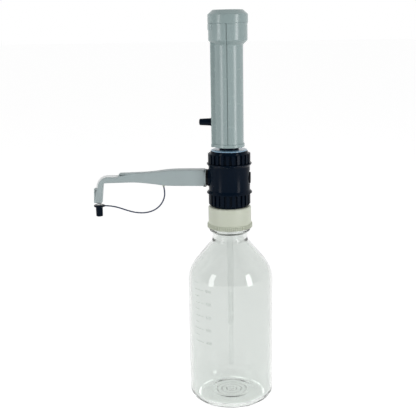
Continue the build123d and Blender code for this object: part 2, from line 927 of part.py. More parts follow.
def make_arm_socket_ring():
    ring_part = bar(socket_ring_radius, -boss_reach, socket_outer_x, arm_z)
    stub_end = -boss_reach + socket_stub_length
    ring_part += bar(cross_bore_radius - push_gap, -boss_reach, stub_end, arm_z)
    return ring_part - bar(tube_radius + push_gap, stub_end, socket_outer_x, arm_z)


def make_arm_collar():
    collar = bar(arm_collar_radius, socket_outer_x, collar_outer_x, arm_z)
    key_end = collar_outer_x - arm_key_length
    key_half_width = arm_root_half_width - arm_wall - 2 * seat_gap
    key_low = arm_z - arm_root_bottom + arm_wall + 2 * seat_gap
    key_high = arm_z + arm_shoulder_top - arm_wall - 2 * seat_gap
    collar += block_between(key_end, collar_outer_x, key_half_width, key_low, key_high)
    return collar - bar(tube_radius + push_gap, socket_outer_x, key_end, arm_z)


def tube_path(start_reach, end_z):
    """Centreline of the discharge tube, out along the arm and down to the nozzle."""
    points = [(-start_reach, 0, arm_z), (-tube_reach, 0, arm_z), (-tube_reach, 0, end_z)]
    return FilletPolyline(*points, radius=tube_bend_radius)


def tube_solid(radius, start_reach, end_z):
    path = tube_path(start_reach, end_z)
    section = Plane(origin=(-start_reach, 0, arm_z), x_dir=(0, 1, 0), z_dir=(-1, 0, 0)) * Circle(radius)
    return sweep(section, path=path)


def make_discharge_tube():
    tube = tube_solid(tube_radius, outlet_valve_outer, nozzle_tip_z)
    return tube - tube_solid(tube_bore_radius, outlet_valve_outer, nozzle_tip_z)


def make_discharge_nozzle():
    nozzle = turned([
        (tube_radius, nozzle_tip_z + flat_gap),
        (nozzle_tip_radius, nozzle_tip_z + flat_gap),
        (nozzle_radius, nozzle_tip_z + cap_body_length / 2),
        (nozzle_radius, arm_tip_z - flat_gap),
        (nozzle_stem_radius, arm_tip_z - flat_gap),
        (nozzle_stem_radius, nozzle_top_z),
        (tube_radius, nozzle_top_z),
    ])
    return Pos(-tube_reach, 0, 0) * nozzle


def arm_outline():
    """Side outline of the arm, from the root's top corner round to its bottom corner."""
    step_x = -tube_reach + arm_step_inset
    lip_z = arm_z + tube_cover_rise
    lip_x = -tube_reach - tube_cover_rise
    drop_z = arm_z - tube_bend_radius - arm_drop_shoulder
    return [
        (arm_root_x, arm_z + arm_root_top),
        (arm_shoulder_x, arm_z + arm_shoulder_top, "long"),
        (arm_waist_x, arm_z + arm_waist_top, "long"),
        (step_x, arm_z + arm_step_top, arm_corner_round),
        (step_x - arm_step_run, lip_z, arm_corner_round),
        (lip_x, lip_z, tube_bend_radius + tube_cover_rise),
        (lip_x, drop_z),
        (-tube_reach - arm_drop_outset, drop_z, arm_corner_round),
        (arm_end_x, arm_tip_z, arm_corner_round),
        (-tube_reach + arm_tip_inset, arm_tip_z, arm_corner_round),
        (-tube_reach + arm_elbow_inset, arm_z - arm_elbow_bottom, arm_elbow_round),
        (arm_under_x, arm_z - arm_under_bottom, "long"),
        (arm_rise_x, arm_z - arm_rise_bottom, "long"),
        (arm_belly_x, arm_z - arm_root_bottom, "long"),
        (arm_root_x, arm_z - arm_root_bottom),
    ]


def arm_cavity_outline():
    """Side outline of the hollow that opens at the arm's root, at least one wall inside the arm."""
    open_x = collar_outer_x + cut_past
    floor_z = arm_z - arm_under_bottom + arm_wall
    return [
        (open_x, arm_z + arm_root_top - arm_wall),
        (arm_shoulder_x, arm_z + arm_shoulder_top - arm_wall, "long"),
        (arm_waist_x, arm_z + arm_waist_top - arm_wall, "long"),
        (cavity_end_x, arm_z + arm_step_top - arm_wall, arm_corner_round),
        (cavity_end_x, floor_z, arm_corner_round),
        (arm_rise_x, floor_z, "long"),
        (arm_belly_x, arm_z - arm_root_bottom + arm_wall, "long"),
        (open_x, arm_z - arm_root_bottom + arm_wall),
    ]


def arm_plan(shrink, root_x, end_x):
    """Plan outline of the arm, tapering from its root to its tip."""
    half = [
        (root_x, arm_root_half_width - shrink),
        (arm_shoulder_x, arm_root_half_width - shrink, "long"),
        (arm_waist_x, arm_waist_half_width - shrink, "long"),
        (end_x, arm_tip_half_width - shrink),
    ]
    mirrored = [(x, -y, *rounding) for x, y, *rounding in reversed(half)]
    return outline_face(half + mirrored, upright=False)


def arm_form(outline, plan):
    """Solid that has the given outline from the side and the given one from above."""
    side = extrude(outline_face(outline), amount=2 * arm_root_half_width, both=True)
    height = arm_tip_drop + 2 * arm_root_top
    return side & (Pos(0, 0, arm_tip_z - arm_root_top / 2) * extrude(plan, amount=height))


def tether_points():
    """Corners of the tether's route, from the nozzle cap to the peg under the arm."""
    start_x = -tube_reach + cap_tab_reach
    run = peg_x - start_x
    return [Vector(start_x + share * run, 0, arm_z - drop) for share, drop in tether_route]


def peg_plane():
    """Plane at the tether's end, facing along its last run."""
    last, end = tether_points()[-2:]
    return Plane(origin=end, x_dir=(0, 1, 0), z_dir=end - last)


def make_tether_peg():
    peg = Cylinder(peg_radius, peg_length, align=(Align.CENTER, Align.CENTER, Align.MIN))
    return peg_plane() * peg


def make_cap_tether():
    points = tether_points()
    corners = zip(points, points[1:], points[2:])
    rounds = [share_round(*corner, cord_bend_share) for corner in corners]
    path = FilletPolyline(*points, radius=rounds)
    section = Plane(origin=points[0], z_dir=points[1] - points[0]) * Circle(tether_diameter / 2)
    tether = sweep(section, path=path)
    print("tether bends", [round(bend, 1) for bend in rounds], "length", round(path.length, 1))
    print("tether volume", round(tether.volume, 2), "expected", round(section.area * path.length, 2))
    return tether


def make_nozzle_cap():
    flange_top = arm_tip_z - nozzle_cap_gap
    flange_low = flange_top - cap_flange_thickness
    body_low = flange_low - cap_body_length
    bore = nozzle_radius + cap_bore_gap
    cap = turned([
        (0, body_low),
        (cap_body_tip_radius, body_low, cap_body_round),
        (cap_body_radius, flange_low),
        (cap_flange_radius, flange_low),
        (cap_flange_radius, flange_top),
        (bore, flange_top),
        (bore, body_low + nozzle_cap_floor),
        (0, body_low + nozzle_cap_floor),
    ])
    cap += block_between(cap_body_radius, cap_tab_reach, cap_tab_half_width, flange_low, flange_top)
    return Pos(-tube_reach, 0, 0) * cap


def make_arm_latch():
    """Small tab that hangs under the joint between arm and collar."""
    outer_x = socket_outer_x - latch_length
    high = arm_z - arm_root_bottom
    latch = block_between(outer_x, socket_outer_x, latch_width / 2, high - latch_drop, high)
    latch = fillet(latch.edges().filter_by(Axis.Y).group_by(Axis.Z)[0], latch_drop / 3)
    return latch - bar(arm_collar_radius, outer_x, socket_outer_x, arm_z)


def make_arm_cover():
    past_end_x = arm_end_x - cut_past
    cover = arm_form(arm_outline(), arm_plan(0, arm_root_x, past_end_x))
    long_edges = [edge for edge in cover.edges() if is_long_arm_edge(edge)]
    cover = fillet(long_edges, arm_edge_round)
    cover -= arm_form(arm_cavity_outline(), arm_plan(arm_wall, arm_root_x + cut_past, past_end_x))
    tube_hole_reach = -cavity_end_x - cut_past
    cover -= tube_solid(tube_radius + tube_groove_gap, tube_hole_reach, arm_tip_z - cut_past)
    cover -= post(nozzle_stem_radius + push_gap, arm_tip_z, nozzle_top_z, x=-tube_reach)
    return cover - make_tether_peg()


def is_long_arm_edge(edge):
    """True for the edges between the arm's sides and its top, bottom and ends."""
    spot = edge.center()
    start, end = edge @ 0, edge @ 1
    upright = abs(start.X - end.X) < 0.01 and edge.length > arm_wall
    inside_root = spot.X < collar_outer_x - 2 * arm_joint_gap
    return inside_root and not upright and abs(spot.Y) > arm_tip_half_width / 2


def sleeve_half(side):
    return split(make_sleeve(), bisect_by=Plane.YZ, keep=side)


def make_sleeve_left_shell():
    return sleeve_half(Keep.BOTTOM)


def make_sleeve_right_shell():
    return sleeve_half(Keep.TOP)


def export(name, part):
    """Writes one piece and prints its name and volume."""
    part.label = name
    export_step(part, f"parts/{name}.step")
    print(name, round(part.volume, 1))


makers = [
    make_reagent_bottle,
    make_adapter_gasket,
    make_thread_adapter,
    make_union_nut,
    make_block_seal,
    make_block_housing,
    make_side_plug,
    make_side_plug_seal,
    make_suction_valve_body,
    make_suction_ball,
    make_suction_valve_cage,
    make_discharge_valve_body,
    make_discharge_ball,
    make_suction_tube_outer,
    make_suction_tube_inner,
    make_barrel_seal,
    make_glass_barrel,
    make_barrel_collar,
    make_guide_collar,
    make_barrel_nut,
    make_barrel_nut_ring,
    make_sleeve_foot_ring,
    make_sleeve_left_shell,
    make_sleeve_right_shell,
    make_rod_carrier,
    make_rod_nut,
    make_piston_rod,
    make_piston_head,
    make_piston_seal,
    make_top_cap,
    make_stop_shoe,
    make_stop_washer,
    make_clamp_knob,
    make_knob_stud,
    make_arm_socket_ring,
    make_arm_collar,
    make_arm_cover,
    make_arm_latch,
    make_discharge_tube,
    make_discharge_nozzle,
    make_tether_peg,
    make_cap_tether,
    make_nozzle_cap,
]

for maker in makers:
    export(maker.__name__.removeprefix("make_"), maker())
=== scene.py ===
"""Bottle-top dispenser on its reagent bottle: finish, printed scales, tether and studio."""

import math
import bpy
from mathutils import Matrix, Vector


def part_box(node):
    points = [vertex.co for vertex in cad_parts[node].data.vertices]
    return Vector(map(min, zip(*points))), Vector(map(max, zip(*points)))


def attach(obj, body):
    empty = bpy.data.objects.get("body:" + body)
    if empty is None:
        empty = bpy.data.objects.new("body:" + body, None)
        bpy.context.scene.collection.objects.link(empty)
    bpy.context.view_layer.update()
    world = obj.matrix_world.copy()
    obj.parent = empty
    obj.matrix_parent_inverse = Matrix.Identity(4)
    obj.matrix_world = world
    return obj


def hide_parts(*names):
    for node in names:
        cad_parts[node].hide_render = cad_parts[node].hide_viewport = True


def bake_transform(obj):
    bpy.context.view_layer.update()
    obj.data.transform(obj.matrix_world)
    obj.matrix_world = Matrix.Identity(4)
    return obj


bl_info = {
    "name": "Bottle-Top Dispenser",
    "version": (1, 0, 0),
    "blender": (4, 5, 0),
    "location": "View3D > Sidebar > Dispenser",
    "description": "Builds the looks of a bottle-top dispenser around its packed frame",
    "category": "Object",
}

import bmesh
import bpy
from bpy.props import FloatProperty, FloatVectorProperty, PointerProperty
from mathutils import Color, Matrix, Vector

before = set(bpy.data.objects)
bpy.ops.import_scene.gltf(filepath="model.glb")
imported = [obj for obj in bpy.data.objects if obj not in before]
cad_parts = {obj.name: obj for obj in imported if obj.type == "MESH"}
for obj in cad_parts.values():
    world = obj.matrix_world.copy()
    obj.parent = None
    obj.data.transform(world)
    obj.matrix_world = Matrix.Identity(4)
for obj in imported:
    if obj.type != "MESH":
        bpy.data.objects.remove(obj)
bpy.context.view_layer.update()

MM = 0.001
SHARP_ANGLE = math.radians(35)
FLAT_ANGLE = math.radians(0.5)
WELD_DISTANCE = 1e-6

bottle_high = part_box("reagent_bottle")[1]
knob_low, knob_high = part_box("clamp_knob")
side_plug_low, side_plug_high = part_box("side_plug")

ARM_Z = (side_plug_low.z + side_plug_high.z) / 2
KNOB_Z = (knob_low.z + knob_high.z) / 2


# Settings that a user would change

def length(name, description, millimetres):
    """Size setting, stated in millimetres and kept in metres."""
    return FloatProperty(name=name, description=description, default=millimetres * MM,
                         min=0.0, unit="LENGTH", precision=5)


def colour(name, description, red, green, blue):
    """Colour setting, stated as it shows on screen."""
    return FloatVectorProperty(name=name, description=description, subtype="COLOR_GAMMA", size=3,
                               default=(red, green, blue), min=0.0, max=1.0)


class DispenserColours(bpy.types.PropertyGroup):
    """Colours of the moulded parts and of the studio."""

    sleeve: colour("Sleeve", "Lifting sleeve and its cap", 0.575, 0.645, 0.645)
    arm: colour("Arm", "Discharge arm and its collar", 0.64, 0.69, 0.695)
    navy: colour("Navy", "Valve block and ring nuts", 0.02, 0.07, 0.125)
    black: colour("Black", "Socket ring, latch and nozzle cap", 0.03, 0.035, 0.05)
    cream: colour("Cream", "Screw adapter", 0.80, 0.82, 0.755)
    # Painted reflection: the ring's own pale blue is lightened to stand in for the backdrop's
    # reflection on the barrel nut's top
    steel_blue: colour("Blue with painted reflection", "Pale ring on the barrel nut", 0.56, 0.70, 0.80)
    tube: colour("Tube", "Discharge tube and valve parts", 0.93, 0.94, 0.94)
    straw: colour("Straw", "Suction tube in the bottle", 0.992, 0.994, 0.993)
    cord: colour("Cord", "Cap tether", 0.16, 0.21, 0.32)
    glass: colour("Glass", "Tint of the bottle's glass", 0.90, 0.911, 0.903)
    print_white: colour("Print", "Enamel marks on the bottle", 0.79, 0.82, 0.80)
    print_dark: colour("Scale ink", "Volume marks on the sleeve", 0.10, 0.12, 0.14)
    floor: colour("Floor", "Studio floor and backdrop", 0.95, 0.95, 0.95)


class DispenserStudio(bpy.types.PropertyGroup):
    """Camera and lamps."""

    distance: length("Distance", "Camera's distance from the bottle's axis", 918.0)
    height: length("Height", "Camera's height above the bench", 447.6)
    azimuth: FloatProperty(name="Azimuth", description="Camera's place round the bottle",
                           default=math.radians(4.4), subtype="ANGLE")
    heading: FloatProperty(name="Heading", description="Turn of the camera to its left",
                           default=math.radians(1.6), subtype="ANGLE")
    pitch: FloatProperty(name="Pitch", description="Camera's tilt down",
                         default=math.radians(13.0), subtype="ANGLE")
    roll: FloatProperty(name="Roll", description="Camera's roll about its line of sight",
                        default=math.radians(-0.98), subtype="ANGLE")
    focal_share: FloatProperty(name="Focal share",
                               description="Focal length over the picture's width",
                               default=797.0 / 416.0)
    lamp_power: FloatProperty(name="Lamp power", description="Power of the right-hand softbox",
                              default=12.0, unit="POWER")
    fill_light: FloatProperty(name="Fill light", description="Strength of the light from all round",
                              default=0.62)


# Mesh helpers

def new_mesh(name, shape):
    """Object from a bmesh, with outward faces, smooth but for its sharp edges."""
    bmesh.ops.recalc_face_normals(shape, faces=shape.faces[:])
    for face in shape.faces:
        face.smooth = True
    for edge in shape.edges:
        edge.smooth = not edge.is_manifold or edge.calc_face_angle(0.0) < SHARP_ANGLE
    mesh = bpy.data.meshes.new(name)
    shape.to_mesh(mesh)
    shape.free()
    piece = bpy.data.objects.new(name, mesh)
    bpy.context.scene.collection.objects.link(piece)
    return piece


def dress(piece, body, material, slot, *nodes):
    """Gives a piece its material, its body and the nodes that it stands for; the slot argument is
    not used.
    """
    piece.data.materials.clear()
    piece.data.materials.append(material)
    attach(piece, body)
    if nodes:
        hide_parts(*nodes)
    return piece


def smooth_copy(name, node):
    """Copy of a node with its triangles joined and its round faces smooth."""
    shape = bmesh.new()
    shape.from_mesh(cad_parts[node].data)
    bmesh.ops.remove_doubles(shape, verts=shape.verts[:], dist=WELD_DISTANCE)
    bmesh.ops.dissolve_limit(shape, angle_limit=FLAT_ANGLE, verts=shape.verts[:],
                             edges=shape.edges[:])
    return new_mesh(name, shape)


# Material helpers

def linear(setting):
    """Scene colour of a colour setting."""
    return (*Color(setting).from_srgb_to_scene_linear(), 1.0)


def shader_nodes(name):
    """New material with an empty tree: returns the material, its nodes, its links and its output."""
    material = bpy.data.materials.new(name)
    material.use_nodes = True
    nodes = material.node_tree.nodes
    nodes.clear()
    output = nodes.new("ShaderNodeOutputMaterial")
    return material, nodes, material.node_tree.links, output


def noise(nodes, links, scale, detail=3.0, stretch=(1, 1, 1)):
    """Noise on Object coordinates; scale is in features per metre."""
    where = nodes.new("ShaderNodeTexCoord")
    mapping = nodes.new("ShaderNodeMapping")
    mapping.inputs["Scale"].default_value = stretch
    texture = nodes.new("ShaderNodeTexNoise")
    texture.inputs["Scale"].default_value = scale
    texture.inputs["Detail"].default_value = detail
    links.new(where.outputs["Object"], mapping.inputs["Vector"])
    links.new(mapping.outputs["Vector"], texture.inputs["Vector"])
    return texture.outputs["Fac"]


def spread(nodes, links, source, low, high):
    """Maps a noise's middle range to the range between two values."""
    ramp = nodes.new("ShaderNodeMapRange")
    ramp.inputs["From Min"].default_value = 0.3
    ramp.inputs["From Max"].default_value = 0.7
    ramp.inputs["To Min"].default_value = low
    ramp.inputs["To Max"].default_value = high
    links.new(source, ramp.inputs["Value"])
    return ramp.outputs["Result"]


def tinted(nodes, links, source, base, shift):
    """Colour that drifts a little to either side of a base colour."""
    mix = nodes.new("ShaderNodeMix")
    mix.data_type = "RGBA"
    dark = [channel * (1 - shift) for channel in base[:3]]
    light = [min(1.0, channel * (1 + shift)) for channel in base[:3]]
    mix.inputs["A"].default_value = (*dark, 1.0)
    mix.inputs["B"].default_value = (*light, 1.0)
    links.new(source, mix.inputs["Factor"])
    return mix.outputs["Result"]


def plastic(name, setting, roughness, specular=0.5, coat=0.0, grain=0.08, drift=0.05):
    """Moulded plastic with a fine grain, flow marks and a little wear in its gloss."""
    material, nodes, links, output = shader_nodes(name)
    shader = nodes.new("ShaderNodeBsdfPrincipled")
    shader.inputs["Specular IOR Level"].default_value = specular
    shader.inputs["Coat Weight"].default_value = coat
    shader.inputs["Coat Roughness"].default_value = 0.12
    flow = noise(nodes, links, 45.0, 2.0, (1, 1, 0.4))
    links.new(tinted(nodes, links, flow, linear(setting), drift), shader.inputs["Base Color"])
    wear = noise(nodes, links, 160.0, 4.0)
    gloss = spread(nodes, links, wear, roughness * 0.85, roughness * 1.2)
    links.new(gloss, shader.inputs["Roughness"])
    bump = nodes.new("ShaderNodeBump")
    bump.inputs["Strength"].default_value = grain
    bump.inputs["Distance"].default_value = 0.05 * MM
    links.new(noise(nodes, links, 2600.0, 2.0), bump.inputs["Height"])
    links.new(bump.outputs["Normal"], shader.inputs["Normal"])
    links.new(shader.outputs["BSDF"], output.inputs["Surface"])
    return material


def clear_glass(name, setting, wave=0.02, roughness=0.0, ior=1.47):
    """Clear glass with faint waves; lamps shine through it."""
    material, nodes, links, output = shader_nodes(name)
    shader = nodes.new("ShaderNodeBsdfPrincipled")
    shader.inputs["Transmission Weight"].default_value = 1.0
    shader.inputs["IOR"].default_value = ior
    shader.inputs["Roughness"].default_value = roughness
    tint = linear(setting)
    drift = noise(nodes, links, 18.0, 2.0, (1, 1, 0.35))
    links.new(tinted(nodes, links, drift, tint, 0.012), shader.inputs["Base Color"])
    bump = nodes.new("ShaderNodeBump")
    bump.inputs["Strength"].default_value = wave
    bump.inputs["Distance"].default_value = 0.6 * MM
    links.new(noise(nodes, links, 60.0, 1.5, (1, 1, 0.3)), bump.inputs["Height"])
    links.new(bump.outputs["Normal"], shader.inputs["Normal"])
    lamp_share = nodes.new("ShaderNodeBsdfTransparent")
    lamp_share.inputs["Color"].default_value = tint
    path = nodes.new("ShaderNodeLightPath")
    mix = nodes.new("ShaderNodeMixShader")
    links.new(path.outputs["Is Shadow Ray"], mix.inputs["Fac"])
    links.new(shader.outputs["BSDF"], mix.inputs[1])
    links.new(lamp_share.outputs["BSDF"], mix.inputs[2])
    links.new(mix.outputs["Shader"], output.inputs["Surface"])
    return material


def translucent_plastic(name, setting, roughness=0.25, share=0.5):
    """Milky fluoropolymer, part see-through."""
    material, nodes, links, output = shader_nodes(name)
    shader = nodes.new("ShaderNodeBsdfPrincipled")
    shader.inputs["Transmission Weight"].default_value = share
    shader.inputs["IOR"].default_value = 1.35
    cloud = noise(nodes, links, 220.0, 3.0)
    links.new(tinted(nodes, links, cloud, linear(setting), 0.03), shader.inputs["Base Color"])
    gloss = spread(nodes, links, cloud, roughness * 0.8, roughness * 1.2)
    links.new(gloss, shader.inputs["Roughness"])
    links.new(shader.outputs["BSDF"], output.inputs["Surface"])
    return material


def metal(name, setting, roughness=0.25):
    """Ground steel with fine marks round its length."""
    material, nodes, links, output = shader_nodes(name)
    shader = nodes.new("ShaderNodeBsdfPrincipled")
    shader.inputs["Metallic"].default_value = 1.0
    marks = noise(nodes, links, 900.0, 2.0, (0.1, 0.1, 4.0))
    links.new(tinted(nodes, links, marks, linear(setting), 0.05), shader.inputs["Base Color"])
    gloss = spread(nodes, links, marks, roughness * 0.7, roughness * 1.3)
    links.new(gloss, shader.inputs["Roughness"])
    links.new(shader.outputs["BSDF"], output.inputs["Surface"])
    return material


finishes = {}


def make_finishes(colours):
    """All finishes of the dispenser, by a plain name."""
    finishes["sleeve"] = plastic("Sleeve_Grey", colours.sleeve, 0.24, specular=0.6, grain=0.03)
    finishes["arm"] = plastic("Arm_Grey", colours.arm, 0.36, grain=0.06)
    finishes["navy"] = plastic("Block_Navy", colours.navy, 0.12, specular=0.05, grain=0.02)
    finishes["black"] = plastic("Trim_Black", colours.black, 0.3, specular=0.12)
    finishes["cream"] = plastic("Adapter_Cream", colours.cream, 0.36, grain=0.06, drift=0.03)
    # Painted reflection: this pale blue is partly the parts' own colour and partly a painted
    # reflection, on the nut ring and on the guide collar
    finishes["steel_blue"] = plastic("Collar_Blue_Painted_Reflection", colours.steel_blue, 0.2)
    finishes["tube"] = plastic("Tube_White", colours.tube, 0.3, drift=0.02)
    finishes["straw"] = clear_glass("Suction_Tube_Clear", colours.straw, wave=0.0, ior=1.03)
    finishes["valve"] = plastic("Valve_White", colours.tube, 0.4, drift=0.02)
    finishes["glass"] = clear_glass("Bottle_Glass", colours.glass)
    finishes["barrel"] = clear_glass("Barrel_Glass", colours.glass, wave=0.0)
    finishes["tip"] = translucent_plastic("Nozzle_Clear", colours.tube, 0.12, 0.75)
    finishes["rubber"] = plastic("Seal_Rubber", colours.black, 0.6, grain=0.2)
    finishes["steel"] = metal("Rod_Steel", (0.72, 0.73, 0.74))
    finishes["cord"] = plastic("Tether_Cord", colours.cord, 0.42)
    finishes["print_white"] = plastic("Enamel_White", colours.print_white, 0.5, grain=0.0)
    finishes["print_dark"] = plastic("Scale_Ink", colours.print_dark, 0.5, grain=0.0)


# Studio

def aim(obj, place, target):
    """Puts a lamp at a place, facing a target."""
    obj.location = place
    obj.rotation_euler = (Vector(target) - Vector(place)).to_track_quat("-Z", "Y").to_euler()


def make_camera(studio):
    camera = bpy.data.objects.new("Camera", bpy.data.cameras.new("Camera"))
    bpy.context.scene.collection.objects.link(camera)
    camera.data.lens = camera.data.sensor_width * studio.focal_share
    camera.data.clip_end = 50.0
    turn = Matrix.Rotation(studio.azimuth + studio.heading, 4, "Z")
    tilt = Matrix.Rotation(math.pi / 2 - studio.pitch, 4, "X")
    roll = Matrix.Rotation(studio.roll, 4, "Z")
    place = Vector((studio.distance * math.sin(studio.azimuth),
                    -studio.distance * math.cos(studio.azimuth), studio.height))
    camera.matrix_world = Matrix.Translation(place) @ turn @ tilt @ roll
    bpy.context.scene.camera = camera


SOFTBOX_ANGLE = math.radians(53)
SOFTBOX_DISTANCE = 1.6
SOFTBOX_WIDTH = 0.42
SOFTBOX_LENGTH = 1.5
SOFTBOX_HEIGHT = 0.42
LEFT_SHARE = 0.7
CEILING_SHARE = 0.4
HORIZON_SHARE = 1.25
FLOOR_LEVEL = 0.87
FLOOR_SIZE = 20.0


def make_softbox(name, side, power, azimuth):
    """Tall softbox at one side of the camera."""
    lamp = bpy.data.lights.new(name, "AREA")
    lamp.shape = "RECTANGLE"
    lamp.size = SOFTBOX_WIDTH
    lamp.size_y = SOFTBOX_LENGTH
    lamp.energy = power
    holder = bpy.data.objects.new(name, lamp)
    bpy.context.scene.collection.objects.link(holder)
    angle = azimuth + side * SOFTBOX_ANGLE
    across = SOFTBOX_DISTANCE * math.sin(angle)
    place = (across, -SOFTBOX_DISTANCE * math.cos(angle), SOFTBOX_HEIGHT)
    aim(holder, place, (0, 0, SOFTBOX_HEIGHT))


def see_rays(nodes, links):
    """1 for rays from the camera and for those that gloss and glass send on."""
    path = nodes.new("ShaderNodeLightPath")
    total = None
    for name in ("Is Camera Ray", "Is Glossy Ray", "Is Transmission Ray"):
        if total is None:
            total = path.outputs[name]
            continue
        top = nodes.new("ShaderNodeMath")
        top.operation = "MAXIMUM"
        links.new(total, top.inputs[0])
        links.new(path.outputs[name], top.inputs[1])
        total = top.outputs["Value"]
    return total


def make_world(fill_light):
    """White to look at, soft light that fades towards the ceiling, and a darker studio in front."""
    world = bpy.data.worlds.new("Studio")
    bpy.context.scene.world = world
    world.use_nodes = True
    nodes = world.node_tree.nodes
    links = world.node_tree.links
    nodes.clear()
    output = nodes.new("ShaderNodeOutputWorld")
    fill = nodes.new("ShaderNodeBackground")
    fill.inputs["Color"].default_value = (1, 1, 1, 1)
    seen = nodes.new("ShaderNodeBackground")
    seen.inputs["Color"].default_value = (1, 1, 1, 1)
    front = nodes.new("ShaderNodeTexCoord")
    split = nodes.new("ShaderNodeSeparateXYZ")
    links.new(front.outputs["Generated"], split.inputs["Vector"])
    depth = nodes.new("ShaderNodeMapRange")
    depth.interpolation_type = "SMOOTHSTEP"
    depth.inputs["From Min"].default_value = -0.35
    depth.inputs["From Max"].default_value = 0.15
    depth.inputs["To Min"].default_value = 0.28
    depth.inputs["To Max"].default_value = 1.0
    links.new(split.outputs["Y"], depth.inputs["Value"])
    ceiling = nodes.new("ShaderNodeMapRange")
    ceiling.inputs["From Min"].default_value = 0.1
    ceiling.inputs["From Max"].default_value = 0.9
    ceiling.inputs["To Min"].default_value = fill_light * HORIZON_SHARE
    ceiling.inputs["To Max"].default_value = fill_light * CEILING_SHARE
    links.new(split.outputs["Z"], ceiling.inputs["Value"])
    links.new(ceiling.outputs["Result"], fill.inputs["Strength"])
    path = nodes.new("ShaderNodeLightPath")
    plain = nodes.new("ShaderNodeMath")
    plain.operation = "MAXIMUM"
    links.new(path.outputs["Is Camera Ray"], plain.inputs[0])
    links.new(depth.outputs["Result"], plain.inputs[1])
    links.new(plain.outputs["Value"], seen.inputs["Strength"])
    mix = nodes.new("ShaderNodeMixShader")
    links.new(see_rays(nodes, links), mix.inputs["Fac"])
    links.new(fill.outputs["Background"], mix.inputs[1])
    links.new(seen.outputs["Background"], mix.inputs[2])
    links.new(mix.outputs["Shader"], output.inputs["Surface"])


def floor_material(setting, fill_light):
    """White floor that keeps the object's shadow."""
    material, nodes, links, output = shader_nodes("Studio_Floor")
    matte = nodes.new("ShaderNodeBsdfDiffuse")
    matte.inputs["Color"].default_value = linear(setting)
    glow = nodes.new("ShaderNodeEmission")
    glow.inputs["Color"].default_value = (1, 1, 1, 1)
    level = nodes.new("ShaderNodeMath")
    level.operation = "MULTIPLY"
    level.inputs[1].default_value = FLOOR_LEVEL - fill_light * CEILING_SHARE
    links.new(see_rays(nodes, links), level.inputs[0])
    links.new(level.outputs["Value"], glow.inputs["Strength"])
    both = nodes.new("ShaderNodeAddShader")
    links.new(matte.outputs["BSDF"], both.inputs[0])
    links.new(glow.outputs["Emission"], both.inputs[1])
    links.new(both.outputs["Shader"], output.inputs["Surface"])
    return material


def make_floor(colours, studio):
    shape = bmesh.new()
    bmesh.ops.create_grid(shape, x_segments=2, y_segments=2, size=FLOOR_SIZE)
    floor = new_mesh("Studio_Floor_Plane", shape)
    floor.data.materials.append(floor_material(colours.floor, studio.fill_light))


class DISPENSER_OT_stage(bpy.types.Operator):
    """Camera, lamps, world and floor"""

    bl_idname = "dispenser.stage"
    bl_label = "Studio"

    def execute(self, context):
        studio = context.scene.dispenser_studio
        make_camera(studio)
        make_world(studio.fill_light)
        make_softbox("Softbox_Right", 1, studio.lamp_power, studio.azimuth)
        make_softbox("Softbox_Left", -1, studio.lamp_power * LEFT_SHARE, studio.azimuth)
        make_floor(context.scene.dispenser_colours, studio)
        context.scene.view_settings.view_transform = "Standard"
        return {"FINISHED"}


class DISPENSER_OT_finishes(bpy.types.Operator):
    """Materials, and the nodes that keep their own shape"""

    bl_idname = "dispenser.finishes"
    bl_label = "Finishes"

    kept = {
        "adapter_gasket": "rubber", "block_seal": "rubber", "side_plug_seal": "rubber",
        "barrel_seal": "rubber", "piston_seal": "rubber",
        "suction_valve_body": "valve", "suction_valve_cage": "valve",
        "discharge_valve_body": "valve", "suction_ball": "barrel", "discharge_ball": "barrel",
        "piston_head": "valve", "rod_carrier": "valve", "rod_nut": "steel",
        "piston_rod": "steel", "knob_stud": "steel", "stop_shoe": "black",
    }

    def execute(self, context):
        make_finishes(context.scene.dispenser_colours)
        for node, finish in self.kept.items():
            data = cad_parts[node].data
            data.materials.clear()
            data.materials.append(finishes[finish])
        return {"FINISHED"}


# Pieces that keep the node's shape, with smooth round faces and softened edges

EDGE_SOFTNESS = {
    "union_nut": 0.25, "barrel_nut": 0.25, "barrel_nut_ring": 0.2, "block_housing": 0.5,
    "side_plug": 0.4, "arm_socket_ring": 0.4, "arm_collar": 0.4, "thread_adapter": 0.2,
    "top_cap": 0.4, "clamp_knob": 0.2, "nozzle_cap": 0.3, "sleeve_foot_ring": 0.3,
}


def soften(piece, width):
    """Rounds a piece's sharp edges by a width in millimetres."""
    edge_round = piece.modifiers.new("Edge_Round", "BEVEL")
    edge_round.width = width * MM
    edge_round.segments = 3
    edge_round.limit_method = "ANGLE"
    edge_round.angle_limit = SHARP_ANGLE


